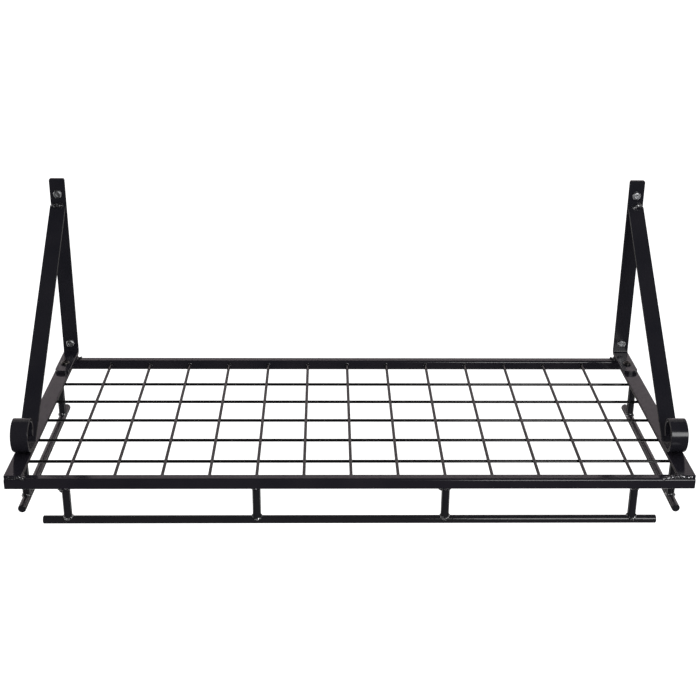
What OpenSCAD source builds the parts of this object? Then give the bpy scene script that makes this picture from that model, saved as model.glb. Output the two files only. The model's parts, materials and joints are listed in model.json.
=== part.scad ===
// Wall shelf of black steel: a wire grid in a tube and bar frame, two scrolled wall brackets,
// and round rails hung below the front and the sides to carry hooks.
// Millimetres, +Z up. The wall is the plane Y = 0 and the shelf reaches out along -Y.
// The origin is the centre of the four wall screws.

/* [Shelf] */
// Width over the outer edges of the side bars
shelf_w = 736.6; // [700:0.2:900]
// Depth from the wall to the front face of the front tube
shelf_d = 330.2; // [322:0.2:400]
// Height from the middle of the shelf frame up to the top of the wall strips
strip_rise = 244.2; // [230:0.2:300]

/* [Wire grid] */
// Spacing of the wires, centre to centre
mesh_pitch = 50.8; // [44:0.2:51]
// Number of wires that run from back to front
long_wires = 13; // [5:2:13]
// Number of wires that run from side to side
cross_wires = 5; // [3:1:5]
// Diameter of a wire
wire_d = 3; // [2:0.2:4]
// Distance from the wall to the first wire that runs from side to side
first_cross = 71.8; // [62:0.2:80]

/* [Steel stock] */
// Width of the flat bar in the side bars, wall strips and arms
bar_w = 19; // [16:0.5:22]
// Thickness of the flat bar
bar_t = 4; // [3:0.2:5]
// Width of the square tube at the front and back
tube_w = 12.7; // [10:0.1:16]
// Wall thickness of the square tube
tube_wall = 1.2; // [0.8:0.1:2]
// Diameter of the hanging rails
rail_d = 9; // [8.8:0.2:11]
// Diameter of the posts that carry the rails
post_d = 8.6; // [6:0.2:8.8]

/* [Hanging rails] */
// Drop from the middle of the shelf frame to the middle of a rail
rail_drop = 46; // [30:1:60]
// Spacing of the posts along a rail, in wire spacings
post_step = 4; // [3:1:4]
// Number of posts under the front tube
front_post_count = 4; // [2:1:4]
// Bare width of the side bar outside the posts under it
post_margin = 4; // [1:0.5:5]
// Length of a rail beyond its last post
rail_overhang = 27; // [12:1:28]

/* [Brackets] */
// Slope of the arms, from level
arm_angle = 37.7; // [34:0.1:40]
// Distance from the wall to the place where an arm bends up from the side bar
arm_heel = 263.3; // [245:0.1:270]
// Outer radius of an arm's bend and of its scroll where they leave the side bar
scroll_r = 19.4; // [16:0.2:22]
// Outer radius of the scroll over its top and down its back
curl_r = 12; // [10:0.2:16]
// Length of the flat where the scroll rests on the side bar
scroll_flat = 8; // [4:0.5:12]
// Distance that the wall strips stand in from the side bars' outer edges
strip_inset = 1; // [0:0.5:2]
// Length of the wall strip's foot on the side bar, from the wall
foot_len = 66; // [58:1:90]

/* [Fasteners] */
// Spacing of the two wall screws in a strip
screw_spacing = 199; // [180:1:202]
// Distance from the top of a strip to its upper screw
screw_inset = 19.2; // [12:0.2:30]
// Diameter of the wall screws behind the strips
screw_d = 4.5; // [3.5:0.1:5]
// Length of a wall screw behind the strip
screw_reach = 30; // [20:1:50]
// Diameter of the bolts in the feet
bolt_d = 5; // [4:0.5:5]
// Distance from the wall to the bolts in the feet
bolt_y = 43; // [32:1:46]

/* [Hidden] */
steel = "#202024";
zinc = "#b9bcc0";
edge_r = 0.8;             // rounding on the long edges of the flat bar
edge_steps = 3;           // straight steps in each rounded edge
tube_r = 2;               // outer corner radius of the square tube
wire_sink = 0.1;          // depth that welded wires press into each other
hole_gap = 0.5;           // radial clearance round a screw or bolt
bend_r = 2;               // inner radius of the strip's bend
tip_r = 2.5;              // corner radius at the top of a strip
toe_r = 8;                // corner radius at the end of a foot
head_h = 3;               // height of a pan head
head_rim = 0.9;           // height of the straight rim below the head's rounding
head_ratio = 2.3;         // head diameter of a wall screw over its shank diameter
bolt_head_ratio = 2.1;    // head diameter of a foot bolt over its shank diameter
slot_ratio = 0.17;        // width of the cross slots over the head diameter
slot_reach = 0.5;         // length of the cross slots over the head diameter
slot_depth = 2;           // depth of the cross slots
tip_arc_r = 16.7;         // outer radius of the scroll's last arc
tip_turn = 47;            // degrees that the scroll's last arc turns
neck_ratio = 0.8;         // smooth neck of a wall screw over its threaded diameter
point_len = 6;            // length of a wall screw's point
point_d = 0.2;            // diameter at the tip of a wall screw's point
nut_flats = 1.6;          // width of a nut across its flats over the bolt diameter
nut_h = 0.8;              // height of a nut over the bolt diameter
bolt_out = 2;             // length of a bolt below its nut
cut = 1;                  // how far a cutter runs past the face that it cuts
lap = 0.1;                // how far an arm's straight run laps into its bend
round_fn = 24;
small_fn = 16;
bend_fn = 72;

// Heights, from the screw pattern down to the shelf
frame_z = screw_inset + screw_spacing / 2 - strip_rise;
bar_z = frame_z + tube_w / 2;
shelf_top = bar_z + bar_t;
rail_z = frame_z - rail_drop;
strip_top = frame_z + strip_rise;

// Places across and along the shelf
side_x = (shelf_w - bar_w) / 2;
strip_x = side_x - strip_inset;
rail_x = (shelf_w - post_d) / 2 - post_margin;
front_y = -shelf_d;
wire_span = shelf_d - bar_t - 2 * tube_w;
front_rail_y = front_y + tube_w / 2;
post_spacing = post_step * mesh_pitch;
side_post_y = [-first_cross, -first_cross - post_spacing];
front_post_x = [for (i = [0 : front_post_count - 1]) (i - (front_post_count - 1) / 2) * post_spacing];
front_rail_len = (front_post_count - 1) * post_spacing + 2 * rail_overhang;
side_rail_len = post_spacing + 2 * rail_overhang;

// The scroll: arcs laid end to end from the side bar to its tip, each [outer radius, degrees]
scroll_arcs = [
    [scroll_r, 90],
    [scroll_r - 0.4, 90],
    [curl_r, 90],
    [tip_arc_r, tip_turn],
];

SIDES = ["left", "right"];
long_names = [for (i = [1 : long_wires]) str("long_wire_", i)];
cross_names = [for (i = [1 : cross_wires]) str("cross_wire_", i)];
front_post_names = [for (i = [1 : front_post_count]) str("front_post_", i)];
side_post_names = [for (s = SIDES, i = [1 : len(side_post_y)]) str(s, "_post_", i)];

// Sign of X on the left or right side
function sign_of(s) = s == "left" ? -1 : 1;

// Rectangle about the origin with rounded corners
function rounded_box(w, h, r, steps) = [
    for (q = [0 : 3], i = [0 : steps])
        let (a = 90 * q + 90 * i / steps, sx = q == 0 || q == 3 ? 1 : -1, sy = q < 2 ? 1 : -1)
            [sx * (w / 2 - r) + r * cos(a), sy * (h / 2 - r) + r * sin(a)]
];

// Cross-section of the flat bar, its width along X and its thickness along Y
module bar_section() {
    polygon(rounded_box(bar_w, bar_t, edge_r, edge_steps));
}

// Flat bar that runs from the origin along -Y, its lower face on Z = 0
module bar_run(length) {
    translate([0, 0, bar_t / 2])
        rotate([90, 0, 0])
            linear_extrude(length)
                bar_section();
}

// Flat bar that starts like bar_run and bends upwards on a given outer radius
module bar_bend(radius, angle) {
    translate([0, 0, radius])
        mirror([0, 1, 0])
            rotate([0, 90, 0])
                rotate_extrude(angle = angle, $fn = bend_fn)
                    translate([radius - bar_t / 2, 0])
                        rotate(90)
                            bar_section();
}

// The rest of the scroll from arc number i, laid end to end
module scroll_from(i) {
    if (i < len(scroll_arcs)) {
        radius = scroll_arcs[i][0];
        angle = scroll_arcs[i][1];
        bar_bend(radius, angle);
        translate([0, -radius * sin(angle), radius * (1 - cos(angle))])
            rotate([-angle, 0, 0])
                scroll_from(i + 1);
    }
}

module square_tube() {
    rotate([90, 0, 90])
        linear_extrude(shelf_w - 2 * tube_wall, center = true)
            difference() {
                polygon(rounded_box(tube_w, tube_w, tube_r, edge_steps));
                polygon(rounded_box(
                    tube_w - 2 * tube_wall, tube_w - 2 * tube_wall, tube_r - tube_wall, edge_steps));
            }
}

module front_tube() {
    color(steel)
        translate([0, front_rail_y, frame_z])
            square_tube();
}

module rear_tube() {
    color(steel)
        translate([0, -bar_t - tube_w / 2, frame_z])
            square_tube();
}

module tube_end_plates() {
    color(steel)
        for (x = [-1, 1], y = [front_rail_y, -bar_t - tube_w / 2])
            translate([x * (shelf_w - tube_wall) / 2, y, frame_z])
                rotate([90, 0, 90])
                    linear_extrude(tube_wall, center = true)
                        polygon(rounded_box(tube_w, tube_w, tube_r, edge_steps));
}

// Bar on top of both tubes, with the hole for the bolt in the strip's foot
module side_bar(side) {
    color(steel)
        difference() {
            translate([side * side_x, -bar_t, bar_z])
                bar_run(shelf_d - bar_t);
            translate([side * strip_x, -bolt_y, bar_z - cut])
                cylinder(h = bar_t + 2 * cut, d = bolt_d + 2 * hole_gap, $fn = round_fn);
        }
}

// Wire between the tubes, above the wires that run across
module long_wire(i) {
    color(steel)
        translate([(i - (long_wires + 1) / 2) * mesh_pitch, -bar_t - tube_w, frame_z + (wire_d - wire_sink) / 2])
            rotate([90, 0, 0])
                cylinder(h = wire_span, d = wire_d, $fn = small_fn);
}

// Wire from post to post, under the long wires and the side bars
module cross_wire(i) {
    color(steel)
        translate([0, -first_cross - (i - 1) * mesh_pitch, frame_z - (wire_d - wire_sink) / 2])
            rotate([0, 90, 0])
                cylinder(h = 2 * rail_x - post_d, d = wire_d, center = true, $fn = small_fn);
}

// Round rail along X about the origin
module rail(length) {
    rotate([0, 90, 0])
        cylinder(h = length, d = rail_d, center = true, $fn = round_fn);
}

// Post from a given height down to a rail along X, its foot coped over the rail
module post(top_z) {
    difference() {
        translate([0, 0, rail_z])
            cylinder(h = top_z - rail_z, d = post_d, $fn = round_fn);
        translate([0, 0, rail_z])
            rail(rail_d + 2 * cut);
    }
}

module front_rail() {
    color(steel)
        translate([0, front_rail_y, rail_z])
            rail(front_rail_len);
}

module front_post(i) {
    color(steel)
        translate([front_post_x[i - 1], front_rail_y, 0])
            post(frame_z - tube_w / 2);
}

module side_rail(x) {
    color(steel)
        translate([x, (side_post_y[0] + side_post_y[1]) / 2, rail_z])
            rotate(90)
                rail(side_rail_len);
}

module side_post(x, y) {
    color(steel)
        translate([x, y, 0])
            rotate(90)
                post(bar_z);
}

// Outline with two rounded corners at its far end, from the origin along +Y
module tongue(length, r) {
    translate([-bar_w / 2, 0])
        square([bar_w, length - r]);
    translate([r - bar_w / 2, 0])
        square([bar_w - 2 * r, length]);
    for (x = [-1, 1])
        translate([x * (bar_w / 2 - r), length - r])
            circle(r, $fn = round_fn);
}

// Flat bar against the wall, bent forward at the bottom into a foot on the side bar
module wall_strip(x) {
    radius = bend_r + bar_t;
    color(steel)
        translate([x, 0, shelf_top])
            difference() {
                union() {
                    intersection() {
                        translate([0, -radius, 0])
                            bar_run(foot_len - radius);
                        rotate(180)
                            linear_extrude(bar_t)
                                tongue(foot_len, toe_r);
                    }
                    translate([0, -radius, 0])
                        mirror([0, 1, 0])
                            bar_bend(radius, 90);
                    intersection() {
                        translate([0, -bar_t, radius])
                            rotate([-90, 0, 0])
                                bar_run(strip_top - shelf_top - radius);
                        rotate([90, 0, 0])
                            linear_extrude(bar_t)
                                tongue(strip_top - shelf_top, tip_r);
                    }
                }
                translate([0, -bolt_y, -cut])
                    cylinder(h = bar_t + 2 * cut, d = bolt_d + 2 * hole_gap, $fn = round_fn);
                for (z = [-1, 1])
                    translate([0, cut, z * screw_spacing / 2 - shelf_top])
                        rotate([90, 0, 0])
                            cylinder(h = bar_t + 2 * cut, d = screw_d + 2 * hole_gap, $fn = round_fn);
            }
}

// Sloping arm from the wall strip down to the side bar, where it rolls up into a scroll
module scroll_arm(x) {
    bend_y = scroll_r * sin(arm_angle);
    bend_z = scroll_r * (1 - cos(arm_angle));
    reach = (arm_heel - bend_y - bar_t) / cos(arm_angle) + bar_t;
    color(steel)
        translate([x, -arm_heel, shelf_top]) {
            intersection() {
                translate([0, bend_y, bend_z])
                    rotate([arm_angle, 0, 0])
                        translate([0, reach, 0])
                            bar_run(reach + lap);
                translate([-bar_w, 0, 0])
                    cube([2 * bar_w, arm_heel - bar_t, arm_heel]);
            }
            mirror([0, 1, 0])
                bar_bend(scroll_r, arm_angle);
            bar_run(scroll_flat);
            translate([0, -scroll_flat, 0])
                scroll_from(0);
        }
}

// Pan head on Z = 0 with a cross recess, facing +Z
module pan_head(d) {
    round_r = head_h - head_rim;
    difference() {
        rotate_extrude($fn = round_fn) {
            square([d / 2, head_rim]);
            square([d / 2 - round_r, head_h]);
            intersection() {
                translate([d / 2 - round_r, head_rim])
                    circle(round_r, $fn = small_fn);
                square([d, head_h]);
            }
        }
        for (a = [0, 90])
            rotate(a)
                translate([-d * slot_reach / 2, -d * slot_ratio / 2, head_h - slot_depth])
                    cube([d * slot_reach, d * slot_ratio, slot_depth + cut]);
    }
}

module wall_screws() {
    color(zinc)
        for (x = [-strip_x, strip_x], z = [-1, 1])
            translate([x, -bar_t, z * screw_spacing / 2])
                rotate([90, 0, 0]) {
                    pan_head(screw_d * head_ratio);
                    translate([0, 0, -bar_t])
                        cylinder(h = bar_t, d = screw_d * neck_ratio, $fn = round_fn);
                    translate([0, 0, -bar_t - screw_reach + point_len])
                        cylinder(h = screw_reach - point_len, d = screw_d, $fn = round_fn);
                    translate([0, 0, -bar_t - screw_reach])
                        cylinder(h = point_len, d1 = point_d, d2 = screw_d, $fn = round_fn);
                }
}

module foot_bolts() {
    length = 2 * bar_t + bolt_d * nut_h + bolt_out;
    color(steel)
        for (x = [-strip_x, strip_x])
            translate([x, -bolt_y, shelf_top + bar_t]) {
                pan_head(bolt_d * bolt_head_ratio);
                translate([0, 0, -length])
                    cylinder(h = length, d = bolt_d, $fn = round_fn);
            }
}

module foot_nuts() {
    color(steel)
        for (x = [-strip_x, strip_x])
            translate([x, -bolt_y, bar_z - bolt_d * nut_h])
                difference() {
                    cylinder(h = bolt_d * nut_h, d = bolt_d * nut_flats / cos(30), $fn = 6);
                    translate([0, 0, -cut])
                        cylinder(h = bolt_d * nut_h + 2 * cut, d = bolt_d, $fn = round_fn);
                }
}

front_tube();
rear_tube();
tube_end_plates();
for (s = SIDES)
    side_bar(sign_of(s));
for (i = [1 : long_wires])
    long_wire(i);
for (i = [1 : cross_wires])
    cross_wire(i);
front_rail();
for (i = [1 : front_post_count])
    front_post(i);
for (s = SIDES)
    side_rail(sign_of(s) * rail_x);
for (s = SIDES, i = [1 : len(side_post_y)])
    side_post(sign_of(s) * rail_x, side_post_y[i - 1]);
for (s = SIDES)
    wall_strip(sign_of(s) * strip_x);
for (s = SIDES)
    scroll_arm(sign_of(s) * side_x);
wall_screws();
foot_bolts();
foot_nuts();
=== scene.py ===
"""Wall shelf of black steel: its finish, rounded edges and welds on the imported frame. Metres."""
import json
import math

import bmesh
import bpy
from mathutils import Matrix, Vector


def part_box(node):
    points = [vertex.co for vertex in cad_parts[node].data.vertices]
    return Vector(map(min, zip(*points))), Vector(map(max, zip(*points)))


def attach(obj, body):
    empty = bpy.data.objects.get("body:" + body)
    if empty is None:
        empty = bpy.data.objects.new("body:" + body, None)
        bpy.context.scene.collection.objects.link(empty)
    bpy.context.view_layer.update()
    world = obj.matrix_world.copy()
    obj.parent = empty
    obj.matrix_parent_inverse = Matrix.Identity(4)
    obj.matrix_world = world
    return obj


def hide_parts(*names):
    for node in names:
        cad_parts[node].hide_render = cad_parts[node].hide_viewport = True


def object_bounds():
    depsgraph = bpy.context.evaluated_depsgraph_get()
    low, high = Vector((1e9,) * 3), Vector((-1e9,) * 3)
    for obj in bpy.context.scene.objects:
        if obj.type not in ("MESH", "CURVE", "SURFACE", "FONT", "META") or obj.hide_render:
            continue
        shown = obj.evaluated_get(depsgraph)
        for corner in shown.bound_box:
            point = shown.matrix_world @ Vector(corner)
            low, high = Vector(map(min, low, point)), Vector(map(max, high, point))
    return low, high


MM = 0.001

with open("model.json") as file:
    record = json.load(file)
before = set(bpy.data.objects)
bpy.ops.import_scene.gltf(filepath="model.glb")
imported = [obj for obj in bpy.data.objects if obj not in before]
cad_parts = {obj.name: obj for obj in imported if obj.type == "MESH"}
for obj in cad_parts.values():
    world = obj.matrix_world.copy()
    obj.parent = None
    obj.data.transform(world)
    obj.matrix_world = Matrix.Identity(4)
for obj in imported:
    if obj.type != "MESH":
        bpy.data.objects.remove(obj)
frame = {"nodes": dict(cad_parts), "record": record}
cad_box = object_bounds()

# ---------------------------------------------------------------- camera

CAMERA_PLACE = Vector((-26.8, -1486.7, 524.5)) * MM
CAMERA_LENS_MM = 63.7
CAMERA_SENSOR_MM = 36.0
CAMERA_PITCH = math.radians(23.125)  # down from level
CAMERA_YAW = math.radians(1.188)     # to the right of straight at the wall
CAMERA_ROLL = math.radians(-0.535)


def make_camera():
    """Camera in front of the shelf and above it, looking down on the grid."""
    forward = Vector((
        math.sin(CAMERA_YAW) * math.cos(CAMERA_PITCH),
        math.cos(CAMERA_YAW) * math.cos(CAMERA_PITCH),
        -math.sin(CAMERA_PITCH),
    ))
    level = Vector((math.cos(CAMERA_YAW), -math.sin(CAMERA_YAW), 0.0))
    down = forward.cross(level)
    right = level * math.cos(CAMERA_ROLL) + down * math.sin(CAMERA_ROLL)
    up = level * math.sin(CAMERA_ROLL) - down * math.cos(CAMERA_ROLL)
    data = bpy.data.cameras.new("camera")
    data.lens = CAMERA_LENS_MM
    data.sensor_width = CAMERA_SENSOR_MM
    data.clip_end = 50.0
    camera = bpy.data.objects.new("camera", data)
    turn = Matrix((right, up, -forward)).transposed()
    camera.matrix_world = Matrix.Translation(CAMERA_PLACE) @ turn.to_4x4()
    bpy.context.scene.collection.objects.link(camera)
    bpy.context.scene.camera = camera


make_camera()

# ---------------------------------------------------------------- node helpers


NOISE_LOW, NOISE_HIGH = 0.3, 0.7  # the range that a noise texture mostly keeps to


def linear(hex_colour):
    """An sRGB hex colour, such as 1C1C20, as linear RGBA."""
    parts = [int(hex_colour[i:i + 2], 16) / 255 for i in (0, 2, 4)]
    return [p / 12.92 if p <= 0.04045 else ((p + 0.055) / 1.055) ** 2.4 for p in parts] + [1.0]


def add(tree, kind, values=None, **settings):
    """Adds a node, sets its properties, and sets each input to a value or links it to an output socket."""
    node = tree.nodes.new(kind)
    for name, value in settings.items():
        setattr(node, name, value)
    for name, value in (values or {}).items():
        if isinstance(value, bpy.types.NodeSocket):
            tree.links.new(value, node.inputs[name])
        else:
            node.inputs[name].default_value = value
    return node


def new_material(name):
    """An empty node material and its tree."""
    material = bpy.data.materials.new(name)
    material.use_nodes = True
    material.node_tree.nodes.clear()
    return material, material.node_tree


# ---------------------------------------------------------------- finishes

ENAMEL_IOR = 1.5
TONE_PATCH_MM = 45        # size of the patches of slightly different black
GLOSS_PATCH_MM = 18       # size of the patches of slightly different gloss
PEEL_SIZE = 1.6 * MM      # one dimple of the orange peel
ENAMEL_ROUNDING = 0.4 * MM
PLATE_TONE_PATCH_MM = 2.5
PLATE_GLOSS_PATCH_MM = 1.5
PLATE_ROUNDING = 0.2 * MM
ROUNDING_SAMPLES = 6
LUMP_SIZE = 2.2 * MM      # one lump of a weld
LUMP_HEIGHT = 0.52 * MM
WEAR_BAND = 0.08          # share of a lump's height over which enamel gives way to steel
WELD_ROUGHNESS = 0.26


def noise(tree, place, size_mm, detail, low, high):
    """A value that wanders between low and high over patches of about the given size."""
    wave = add(tree, "ShaderNodeTexNoise", {"Vector": place, "Scale": 1 / (size_mm * MM), "Detail": detail})
    spread = add(tree, "ShaderNodeMapRange", {
        "Value": wave.outputs["Fac"], "From Min": NOISE_LOW, "From Max": NOISE_HIGH,
        "To Min": low, "To Max": high})
    return spread.outputs["Result"]


def blend(tree, share, first, second):
    """A colour between two hex colours, by a share from 0 to 1."""
    mix = tree.nodes.new("ShaderNodeMix")
    mix.data_type = "RGBA"
    tree.links.new(share, mix.inputs[0])
    mix.inputs[6].default_value = linear(first)
    mix.inputs[7].default_value = linear(second)
    return mix.outputs[2]


def black_enamel(name, shade, worn, peel_um, gloss_low, gloss_high):
    """Gloss black enamel sprayed on mild steel: a soft mirror, broken by faint orange peel."""
    material, tree = new_material(name)
    place = add(tree, "ShaderNodeTexCoord").outputs["Object"]
    colour = blend(tree, noise(tree, place, TONE_PATCH_MM, 2, 0.0, 1.0), shade, worn)
    peel = add(tree, "ShaderNodeTexNoise", {"Vector": place, "Scale": 1 / PEEL_SIZE, "Detail": 1.0})
    rounded = add(tree, "ShaderNodeBevel", {"Radius": ENAMEL_ROUNDING}, samples=ROUNDING_SAMPLES)
    bump = add(tree, "ShaderNodeBump", {
        "Height": peel.outputs["Fac"], "Distance": peel_um * MM * MM,
        "Strength": 1.0, "Normal": rounded.outputs["Normal"]})
    shader = add(tree, "ShaderNodeBsdfPrincipled", {
        "Base Color": colour, "IOR": ENAMEL_IOR,
        "Roughness": noise(tree, place, GLOSS_PATCH_MM, 2, gloss_low, gloss_high),
        "Normal": bump.outputs["Normal"]})
    add(tree, "ShaderNodeOutputMaterial", {"Surface": shader.outputs["BSDF"]})
    return material


def plated_steel(name, bright, dull, smooth, rough):
    """Plated or blackened fastener steel: a metal with faint cloudy patches from the bath."""
    material, tree = new_material(name)
    place = add(tree, "ShaderNodeTexCoord").outputs["Object"]
    colour = blend(tree, noise(tree, place, PLATE_TONE_PATCH_MM, 2, 0.0, 1.0), bright, dull)
    rounded = add(tree, "ShaderNodeBevel", {"Radius": PLATE_ROUNDING}, samples=ROUNDING_SAMPLES)
    shader = add(tree, "ShaderNodeBsdfPrincipled", {
        "Base Color": colour, "Metallic": 1.0,
        "Roughness": noise(tree, place, PLATE_GLOSS_PATCH_MM, 2, smooth, rough),
        "Normal": rounded.outputs["Normal"]})
    add(tree, "ShaderNodeOutputMaterial", {"Surface": shader.outputs["BSDF"]})
    return material


def weld_enamel(name, shade, bare, bare_from):
    """The same enamel over a weld, worn to bright steel where the lumps rise past a height from 0 to 1."""
    material, tree = new_material(name)
    place = add(tree, "ShaderNodeTexCoord").outputs["Object"]
    lumps = add(tree, "ShaderNodeTexNoise", {"Vector": place, "Scale": 1 / LUMP_SIZE, "Detail": 2.0})
    crest = add(tree, "ShaderNodeMapRange", {
        "Value": lumps.outputs["Fac"], "From Min": bare_from, "From Max": bare_from + WEAR_BAND})
    bump = add(tree, "ShaderNodeBump", {
        "Height": lumps.outputs["Fac"], "Distance": LUMP_HEIGHT, "Strength": 1.0})
    shader = add(tree, "ShaderNodeBsdfPrincipled", {
        "Base Color": blend(tree, crest.outputs["Result"], shade, bare),
        "Metallic": crest.outputs["Result"], "IOR": ENAMEL_IOR,
        "Roughness": WELD_ROUGHNESS, "Normal": bump.outputs["Normal"]})
    add(tree, "ShaderNodeOutputMaterial", {"Surface": shader.outputs["BSDF"]})
    return material


WELD_ENAMEL = weld_enamel("thin_black_enamel_over_weld", "1A191D", "A8A7AA", 0.52)
PATCHY_WELD = weld_enamel("patchy_black_enamel_over_weld", "1A191D", "E0E0E2", 0.51)
WORN_WELD = weld_enamel("worn_black_enamel_over_weld", "1A191D", "E0E0E2", 0.40)
FINISHES = {
    "black_frame": black_enamel("gloss_black_enamel_on_tube_and_bar", "1A191F", "201E23", 14, 0.10, 0.14),
    "black_brackets": black_enamel("gloss_black_enamel_on_brackets", "19191F", "1F1E23", 14, 0.16, 0.21),
    "black_rails": black_enamel("gloss_black_enamel_on_rod", "1B1B1F", "1F1E21", 12, 0.11, 0.15),
    "black_wires": black_enamel("black_enamel_on_wire", "0B0B0C", "111011", 10, 0.12, 0.18),
    "black_bolts": plated_steel("worn_black_oxide_on_steel", "7A7775", "4E4C4B", 0.24, 0.38),
    "zinc_screws": plated_steel("bright_zinc_plate_on_steel", "FAFBFC", "C8CACE", 0.36, 0.50),
}
SLOT_OF = {part["node"]: part["material_slot"] for part in frame["record"]["subparts"]}

# ---------------------------------------------------------------- pieces from the frame's own solids

JOIN_GAP = 0.001 * MM
FLAT_ANGLE = math.radians(0.3)    # faces that meet at less than this are one face
SHARP_ANGLE = math.radians(38)    # edges that are broken
SMOOTH_ANGLE = math.radians(50)   # edges that are shaded smooth
CORNER_STEPS = 8                  # straight steps in a tube's corner


def add_piece(name, mesh, slot, finish=None):
    """A finished piece in the frame's place, which takes its finish from a slot and rides on the one body."""
    mesh.materials.clear()
    mesh.materials.append(finish or FINISHES[slot])
    piece = bpy.data.objects.new(name, mesh)
    bpy.context.scene.collection.objects.link(piece)
    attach(piece, "root")
    return piece


def merged_copy(node):
    """A node's mesh with its loose triangles joined and its flat faces made whole."""
    shape = bmesh.new()
    shape.from_mesh(frame["nodes"][node].data)
    bmesh.ops.remove_doubles(shape, verts=shape.verts, dist=JOIN_GAP)
    bmesh.ops.dissolve_limit(
        shape, angle_limit=FLAT_ANGLE, verts=shape.verts, edges=shape.edges, delimit=set())
    return shape


def even_normals(piece):
    """Gives flat faces one normal right up to their rounded edges, so that they mirror as flat."""
    piece.modifiers.new("even_normals", "WEIGHTED_NORMAL").keep_sharp = True
    evaluated = piece.evaluated_get(bpy.context.evaluated_depsgraph_get())
    result = bpy.data.meshes.new_from_object(evaluated)
    piece.modifiers.clear()
    piece.data = result


def rounded_bars(spans, radius):
    """Square bars along X with rounded long edges, one for each pair of opposite corners."""
    shape = bmesh.new()
    for low, high in spans:
        section = []
        for corner in range(4):
            y = high.y - radius if corner in (0, 3) else low.y + radius
            z = high.z - radius if corner in (0, 1) else low.z + radius
            for step in range(CORNER_STEPS + 1):
                turn = math.radians(90) * (corner + step / CORNER_STEPS)
                section.append((y + radius * math.cos(turn), z + radius * math.sin(turn)))
        near = [shape.verts.new((low.x, y, z)) for y, z in section]
        far = [shape.verts.new((high.x, y, z)) for y, z in section]
        shape.faces.new(reversed(near))
        shape.faces.new(far)
        for i in range(len(section)):
            j = (i + 1) % len(section)
            shape.faces.new((near[i], near[j], far[j], far[i]))
    return shape


def finished(node, shape, edge_mm):
    """A node with its sharp edges broken to a small radius and its round faces shaded smooth."""
    sharp = [e for e in shape.edges if e.is_manifold and e.calc_face_angle() > SHARP_ANGLE]
    bmesh.ops.bevel(
        shape, geom=sharp, offset=edge_mm * MM, offset_type="OFFSET", segments=2, profile=0.5,
        affect="EDGES", clamp_overlap=True)
    mesh = bpy.data.meshes.new(node + "_finished")
    shape.to_mesh(mesh)
    shape.free()
    mesh.shade_smooth()
    mesh.set_sharp_from_angle(angle=SMOOTH_ANGLE)
    piece = add_piece(node + "_finished", mesh, SLOT_OF[node])
    even_normals(piece)
    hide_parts(node)


def tube_spans(node):
    """The span of a square tube, or of the four plates that close both tubes."""
    if node != "tube_end_plates":
        return [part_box(node)]
    spans = []
    plate_low, plate_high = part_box(node)
    for tube in ("front_tube", "rear_tube"):
        low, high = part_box(tube)
        spans.append((Vector((plate_low.x, low.y, low.z)), Vector((low.x, high.y, high.z))))
        spans.append((Vector((high.x, low.y, low.z)), Vector((plate_high.x, high.y, high.z))))
    return spans


def set_back_end(shape, node, depth):
    """Draws the front end of a bar back by a depth, which leaves room for the bead across it."""
    front_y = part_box(node)[0].y
    for vert in shape.verts:
        if vert.co.y < front_y + depth:
            vert.co.y = front_y + depth
    bmesh.ops.remove_doubles(shape, verts=shape.verts, dist=10 * JOIN_GAP)


def coated(shape, node, coat):
    """Adds the thickness of the enamel round a wire or a post, but not at its ends."""
    low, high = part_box(node)
    middle = (low + high) / 2
    size = high - low
    across = [axis for axis in range(3) if size[axis] < max(size)]
    for vert in shape.verts:
        for axis in across:
            vert.co[axis] = middle[axis] + (vert.co[axis] - middle[axis]) * (1 + 2 * coat / size[axis])


TUBE_CORNER = 3.0 * MM
ENAMEL_COAT = 0.2 * MM     # thickness of the enamel on wires and posts
BAR_END_DEPTH = 1.5 * MM
# Size of the broken edges, by slot
EDGE_MM = {"black_frame": 0.3, "black_wires": 0.3, "black_rails": 0.8, "black_brackets": 0.35}
for node, cad_object in frame["nodes"].items():
    slot = SLOT_OF[node]
    cad_object.data.materials.clear()
    cad_object.data.materials.append(FINISHES[slot])
    if slot in EDGE_MM:
        tube = node.endswith("_tube") or node == "tube_end_plates"
        shape = rounded_bars(tube_spans(node), TUBE_CORNER) if tube else merged_copy(node)
        if node.endswith("_side_bar"):
            set_back_end(shape, node, BAR_END_DEPTH)
        if slot == "black_wires" or "_post_" in node:
            coated(shape, node, ENAMEL_COAT)
        finished(node, shape, EDGE_MM[slot])

# ---------------------------------------------------------------- weld beads

BLOTCH_SIZE = 4 * MM   # length over which a bead swells and thins
BEAD_SIDES = 10
STEPS_PER_RIPPLE = 4.0


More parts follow.
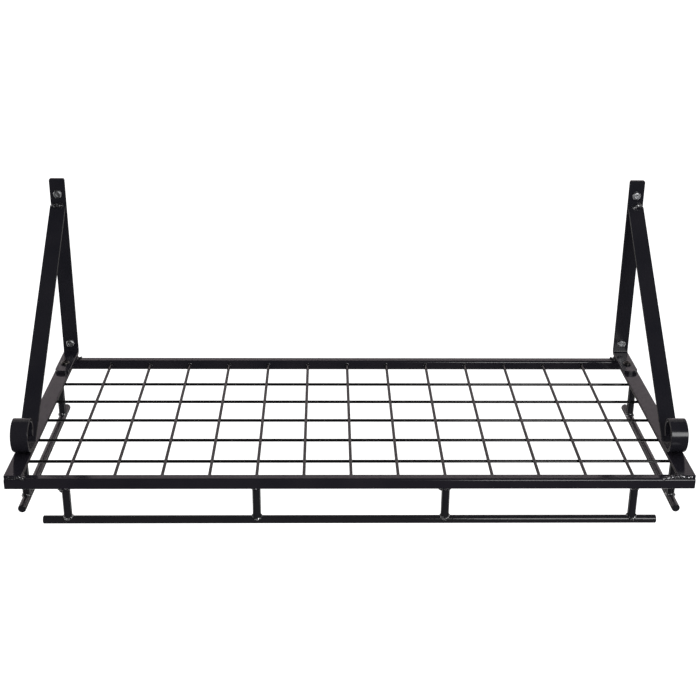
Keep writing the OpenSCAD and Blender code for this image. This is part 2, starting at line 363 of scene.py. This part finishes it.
def weld_tree():
    """Sweeps a round bead along each path, with the ripples that the weld pool leaves as it moves on."""
    tree = bpy.data.node_groups.new("weld_bead", "GeometryNodeTree")
    socket = tree.interface.new_socket
    socket("Paths", in_out="INPUT", socket_type="NodeSocketGeometry")
    inputs = {}
    for name, kind in (
        ("Bead radius", "NodeSocketFloat"), ("Ripple spacing", "NodeSocketFloat"),
        ("Ripple depth", "NodeSocketFloat"), ("Unevenness", "NodeSocketFloat"),
        ("Finish", "NodeSocketMaterial"),
    ):
        inputs[name] = socket(name, in_out="INPUT", socket_type=kind).identifier
    socket("Beads", in_out="OUTPUT", socket_type="NodeSocketGeometry")
    given = add(tree, "NodeGroupInput").outputs
    step = add(tree, "ShaderNodeMath", {0: given["Ripple spacing"], 1: STEPS_PER_RIPPLE}, operation="DIVIDE")
    paths = add(tree, "GeometryNodeMeshToCurve", {"Mesh": given["Paths"]})
    even = add(tree, "GeometryNodeResampleCurve", {
        "Curve": paths.outputs["Curve"], "Length": step.outputs["Value"]}, mode="LENGTH")
    along = add(tree, "GeometryNodeSplineParameter")
    turns = add(tree, "ShaderNodeMath", {
        0: along.outputs["Length"], 1: given["Ripple spacing"]}, operation="DIVIDE")
    phase = add(tree, "ShaderNodeMath", {0: turns.outputs["Value"], 1: math.tau}, operation="MULTIPLY")
    wave = add(tree, "ShaderNodeMath", {0: phase.outputs["Value"]}, operation="SINE")
    ripple = add(tree, "ShaderNodeMath", {
        0: wave.outputs["Value"], 1: given["Ripple depth"], 2: 1.0}, operation="MULTIPLY_ADD")
    blotch = add(tree, "ShaderNodeTexNoise", {
        "Vector": add(tree, "GeometryNodeInputPosition").outputs["Position"], "Scale": 1 / BLOTCH_SIZE})
    uneven = add(tree, "ShaderNodeMapRange", {
        "Value": blotch.outputs["Fac"], "From Min": NOISE_LOW, "From Max": NOISE_HIGH,
        "To Min": -1.0, "To Max": 1.0})
    swell = add(tree, "ShaderNodeMath", {
        0: uneven.outputs["Result"], 1: given["Unevenness"], 2: ripple.outputs["Value"],
    }, operation="MULTIPLY_ADD")
    radius = add(tree, "ShaderNodeMath", {
        0: swell.outputs["Value"], 1: given["Bead radius"]}, operation="MULTIPLY")
    sized = add(tree, "GeometryNodeSetCurveRadius", {
        "Curve": even.outputs["Curve"], "Radius": radius.outputs["Value"]})
    section = add(tree, "GeometryNodeCurvePrimitiveCircle", {"Resolution": BEAD_SIDES, "Radius": 1.0})
    swept = add(tree, "GeometryNodeCurveToMesh", {
        "Curve": sized.outputs["Curve"], "Profile Curve": section.outputs["Curve"], "Fill Caps": True})
    if "Scale" in swept.inputs:
        tree.links.new(radius.outputs["Value"], swept.inputs["Scale"])
    smooth = add(tree, "GeometryNodeSetShadeSmooth", {"Geometry": swept.outputs["Mesh"]})
    real = add(tree, "GeometryNodeRealizeInstances", {"Geometry": smooth.outputs["Geometry"]})
    painted = add(tree, "GeometryNodeSetMaterial", {
        "Geometry": real.outputs["Geometry"], "Material": given["Finish"]})
    add(tree, "NodeGroupOutput", {"Beads": painted.outputs["Geometry"]})
    return tree, inputs


WELD_TREE, WELD_INPUTS = weld_tree()


def lay_welds(name, paths, slot, radius_mm, spacing_mm, depth, unevenness, finish=WELD_ENAMEL):
    """Runs the weld tree over paths, each (points, closed), and keeps the result as one plain piece."""
    mesh = bpy.data.meshes.new(name)
    points, edges = [], []
    for path, closed in paths:
        first = len(points)
        points += path
        edges += [(first + i, first + i + 1) for i in range(len(path) - 1)]
        if closed:
            edges.append((first + len(path) - 1, first))
    mesh.from_pydata(points, edges, [])
    guide = bpy.data.objects.new(name + "_paths", mesh)
    bpy.context.scene.collection.objects.link(guide)
    modifier = guide.modifiers.new("weld", "NODES")
    modifier.node_group = WELD_TREE
    for key, value in (
        ("Bead radius", radius_mm * MM), ("Ripple spacing", spacing_mm * MM), ("Ripple depth", depth),
        ("Unevenness", unevenness), ("Finish", finish),
    ):
        modifier[WELD_INPUTS[key]] = value
    evaluated = guide.evaluated_get(bpy.context.evaluated_depsgraph_get())
    result = bpy.data.meshes.new_from_object(evaluated)
    bpy.data.objects.remove(guide)
    result.name = name
    add_piece(name, result, slot, finish)


def ring(centre, across, up, radius, steps=24, lift=None):
    """Closed path round a rod, in the plane of two unit vectors. lift moves each point out of the plane."""
    points = []
    for i in range(steps):
        turn = math.tau * i / steps
        point = centre + (across * math.cos(turn) + up * math.sin(turn)) * radius
        points.append(point + (lift(turn) if lift else Vector()))
    return points, True


def stroke(*points):
    """Open path through the given points."""
    return [Vector(p) for p in points], False


X, Y, Z = Vector((1, 0, 0)), Vector((0, 1, 0)), Vector((0, 0, 1))
SIDES = (("left", -1), ("right", 1))


def wire_welds():
    """A small collar of weld at both ends of each wire that meets the tubes."""
    paths = []
    for node in (n for n in frame["nodes"] if n.startswith("long_wire_")):
        low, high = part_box(node)
        centre = (low + high) / 2
        radius = (high.x - low.x) / 2
        for y in (low.y, high.y):
            paths.append(ring(Vector((centre.x, y, centre.z)), X, Z, radius + ENAMEL_COAT, steps=16))
    lay_welds(
        "wire_welds", paths, "black_wires", radius_mm=0.75, spacing_mm=1.6, depth=0.06, unevenness=0.25)


def post_welds():
    """Weld round the top of each post, and round its foot on the rail. Two tops have a lump at the side."""
    sunk = 0.3 * MM  # depth of a bead's path inside the post
    tops, feet = [], []
    for node in (n for n in frame["nodes"] if "_post_" in n):
        low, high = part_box(node)
        centre = (low + high) / 2
        post_r = (high.x - low.x) / 2
        along_x = node.startswith("front")
        rail = "front_rail" if along_x else node.split("_")[0] + "_side_rail"
        rail_low, rail_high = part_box(rail)
        rail_r = (rail_high.z - rail_low.z) / 2
        rail_z = (rail_high.z + rail_low.z) / 2
        tops.append(ring(Vector((centre.x, centre.y, high.z)), X, Y, post_r - sunk))
        across = Y if along_x else X
        along = X if along_x else Y

        def saddle(turn, reach=post_r - sunk):
            return Z * math.sqrt(max(rail_r ** 2 - (reach * math.sin(turn)) ** 2, 0.0))

        feet.append(ring(
            Vector((centre.x, centre.y, rail_z)), along, across, min(post_r, rail_r) - sunk,
            steps=32, lift=saddle))
    # Lumps in millimetres, to the right of the post's left edge and above its top
    for node, lump in (
        ("front_post_1", [(-3.0, -1.5), (-1.5, -3.5), (0.0, -5.5)]),
        ("front_post_3", [(-3.0, -0.8), (-1.2, -1.8), (0.2, -3.0)]),
    ):
        low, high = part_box(node)
        y = (low.y + high.y) / 2
        tops.append(stroke(*((low.x + dx * MM, y, high.z + dz * MM) for dx, dz in lump)))
    lay_welds(
        "post_top_welds", tops, "black_rails", radius_mm=1.95, spacing_mm=2.6, depth=0.12, unevenness=0.25)
    lay_welds(
        "post_foot_welds", feet, "black_rails", radius_mm=1.8, spacing_mm=2.6, depth=0.12, unevenness=0.25,
        finish=PATCHY_WELD)


def bracket_welds():
    """A crooked bead across the top of each arm, on its wall strip. The right one is worn to steel."""
    for side, sign in SIDES:
        low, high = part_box(side + "_scroll_arm")
        x = (low.x + high.x) / 2
        y = high.y - 2.0 * MM
        # Millimetres to the right of the arm's middle and above its top
        line = [(-4.5, -1.4), (-1.0, 0.4), (2.0, 2.4), (5.5, 2.8)] if sign > 0 else [
            (-7.5, 0.9), (-3.5, -0.6), (1.0, 0.7), (7.5, -0.9)]
        bead = stroke(*((x + dx * MM, y, high.z + dz * MM) for dx, dz in line))
        finish = WORN_WELD if sign > 0 else WELD_ENAMEL
        lay_welds(
            side + "_arm_top_weld", [bead], "black_brackets", radius_mm=2.2, spacing_mm=3.2, depth=0.25,
            unevenness=0.40, finish=finish)


def frame_welds():
    """Beads where each side bar's inner edge crosses the tubes, and beside the heel of each wall strip."""
    paths = []
    inset = 2.0 * MM
    lift = 0.4 * MM
    rear_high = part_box("rear_tube")[1]
    heel_z = rear_high.z + 0.5 * MM
    for side, sign in SIDES:
        bar_low, bar_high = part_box(side + "_side_bar")
        inner = bar_high.x if sign < 0 else bar_low.x
        for tube in ("front_tube", "rear_tube"):
            low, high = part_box(tube)
            paths.append(stroke(
                (inner, low.y + inset, high.z + lift),
                (inner, high.y - inset, high.z + lift)))
        strip_low, strip_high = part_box(side + "_wall_strip")
        edge = strip_high.x if sign < 0 else strip_low.x
        paths.append(stroke(
            (edge - sign * 4.0 * MM, rear_high.y - 2.5 * MM, heel_z),
            (edge, rear_high.y - 6.0 * MM, heel_z)))
    lay_welds(
        "frame_welds", paths, "black_frame", radius_mm=1.5, spacing_mm=2.0, depth=0.10, unevenness=0.15)


def corner_welds():
    """Beads on the front corners, from the tube across the end of each side bar. The right one runs on."""
    paths = []
    bead_mm = 2.6
    for side, sign in SIDES:
        bar_low, bar_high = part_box(side + "_side_bar")
        inner = bar_high.x if sign < 0 else bar_low.x
        y = bar_low.y + bead_mm * MM + 0.5 * MM
        # Millimetres outwards from the bar's inner edge and above its underside
        tail = [(-16.0, -1.7), (-6.2, 0.4)] if sign > 0 else [(-2.0, -1.0)]
        rise = tail + [(3.2, 1.7), (9.0, 0.1), (15.5, 1.1)]
        paths.append(stroke(*((inner + sign * dx * MM, y, bar_low.z + dz * MM) for dx, dz in rise)))
    lay_welds(
        "corner_welds", paths, "black_frame", radius_mm=bead_mm, spacing_mm=4.5, depth=0.05, unevenness=0.10)


wire_welds()
post_welds()
bracket_welds()
frame_welds()
corner_welds()

# ---------------------------------------------------------------- stage and light

FLOOR_DROP = 0.45     # from the lowest rail to the floor
FLOOR_REACH = 8.0     # from the middle to the floor's edges
FLOOR_GLOW = 0.55     # added to the floor where it is seen, so that it reads as white
FILL_STRENGTH = 0.8   # of the world where it only lights the shelf
FLAG_SIDE = 12.0      # half the width of the dark flags
CARD_SIDE = 6.0       # half the width of the grey cloth and card behind the wall plane
FLAG_FRONT_Y = -6.0
FLAG_LOW_Z = cad_box[0].z - FLOOR_DROP + 0.01
FLAG_HIGH_Z = 1.9
DARK_CLOTH = "303030"
GREY_CLOTH = "77736F"
GREY_CARD = "B5B0AC"
PALE_CARD = "DCD0D3"
WHITE = linear("FFFFFF")


def seen_directly(tree):
    """1 for rays from the camera and for what shows in a reflection or through something clear."""
    path = add(tree, "ShaderNodeLightPath").outputs
    shiny = add(tree, "ShaderNodeMath", {
        0: path["Is Glossy Ray"], 1: path["Is Transmission Ray"]}, operation="MAXIMUM")
    either = add(tree, "ShaderNodeMath", {
        0: path["Is Camera Ray"], 1: shiny.outputs["Value"]}, operation="MAXIMUM")
    return either.outputs["Value"]


def level_sheet(side, near_y, far_y, z):
    """Corners of a level sheet as wide as twice a side."""
    return [(-side, near_y, z), (side, near_y, z), (side, far_y, z), (-side, far_y, z)]


def upright_sheet(side, y, low_z, high_z):
    """Corners of an upright sheet as wide as twice a side, which faces along Y."""
    return [(-side, y, low_z), (side, y, low_z), (side, y, high_z), (-side, y, high_z)]


def make_floor():
    """Pale floor that reads as white and keeps the shelf's soft shadow."""
    z = cad_box[0].z - FLOOR_DROP
    mesh = bpy.data.meshes.new("floor")
    mesh.from_pydata(level_sheet(FLOOR_REACH, -FLOOR_REACH, FLOOR_REACH, z), [], [(0, 1, 2, 3)])
    floor = bpy.data.objects.new("floor", mesh)
    bpy.context.scene.collection.objects.link(floor)
    material, tree = new_material("pale_floor")
    matt = add(tree, "ShaderNodeBsdfDiffuse", {"Color": linear("F2F2F2")})
    glow = add(tree, "ShaderNodeEmission", {"Color": WHITE, "Strength": FLOOR_GLOW})
    lit = add(tree, "ShaderNodeAddShader", {0: matt.outputs["BSDF"], 1: glow.outputs["Emission"]})
    shown = add(tree, "ShaderNodeMixShader", {
        0: seen_directly(tree), 1: matt.outputs["BSDF"], 2: lit.outputs["Shader"]})
    add(tree, "ShaderNodeOutputMaterial", {"Surface": shown.outputs["Shader"]})
    mesh.materials.append(material)


def make_world():
    """White where it is seen, and a plain even fill where it only lights the shelf."""
    world = bpy.data.worlds.new("white_studio")
    world.use_nodes = True
    bpy.context.scene.world = world
    tree = world.node_tree
    tree.nodes.clear()
    strength = add(tree, "ShaderNodeMapRange", {
        "Value": seen_directly(tree), "To Min": FILL_STRENGTH, "To Max": 1.0})
    back = add(tree, "ShaderNodeBackground", {"Color": WHITE, "Strength": strength.outputs["Result"]})
    add(tree, "ShaderNodeOutputWorld", {"Surface": back.outputs["Background"]})


def make_flag(name, shade, corners):
    """Cloth flag or paper card that the enamel and the plating mirror, and that no camera sees."""
    mesh = bpy.data.meshes.new(name)
    mesh.from_pydata(corners, [], [(0, 1, 2, 3)])
    flag = bpy.data.objects.new(name, mesh)
    bpy.context.scene.collection.objects.link(flag)
    flag.visible_camera = False
    flag.visible_diffuse = False
    flag.visible_shadow = False
    material, tree = new_material(name + "_cloth")
    cloth = add(tree, "ShaderNodeBsdfDiffuse", {"Color": linear(shade)})
    add(tree, "ShaderNodeOutputMaterial", {"Surface": cloth.outputs["BSDF"]})
    mesh.materials.append(material)


def make_softbox(name, place, aim, width, height, power):
    """Rectangular soft light at a place, turned to face a point."""
    data = bpy.data.lights.new(name, "AREA")
    data.shape = "RECTANGLE"
    data.size = width
    data.size_y = height
    data.energy = power
    lamp = bpy.data.objects.new(name, data)
    lamp.location = place
    lamp.rotation_euler = (Vector(aim) - Vector(place)).to_track_quat("-Z", "Y").to_euler()
    bpy.context.scene.collection.objects.link(lamp)


make_floor()
make_world()
make_flag("flag_underneath", DARK_CLOTH, level_sheet(FLAG_SIDE, FLAG_FRONT_Y, -0.1, FLAG_LOW_Z))
make_flag("flag_overhead", DARK_CLOTH, level_sheet(FLAG_SIDE, FLAG_FRONT_Y, 1.0, FLAG_HIGH_Z))
make_flag("flag_in_front", DARK_CLOTH, upright_sheet(FLAG_SIDE, FLAG_FRONT_Y, FLAG_LOW_Z, FLAG_HIGH_Z))
make_flag("flag_low_behind", GREY_CLOTH, level_sheet(CARD_SIDE, 0.2, 3.2, FLAG_LOW_Z))
make_flag("card_high_behind", GREY_CARD, level_sheet(CARD_SIDE, 1.0, 2.8, FLAG_HIGH_Z))
make_flag("card_behind", PALE_CARD, upright_sheet(3, 3.2, -0.3, 2.2))
make_softbox(
    "key_softbox", place=(0.65, -1.6, 0.62), aim=(0.3, -0.3, -0.13), width=0.7, height=0.65, power=8.6)

bpy.context.scene.view_settings.view_transform = "Standard"
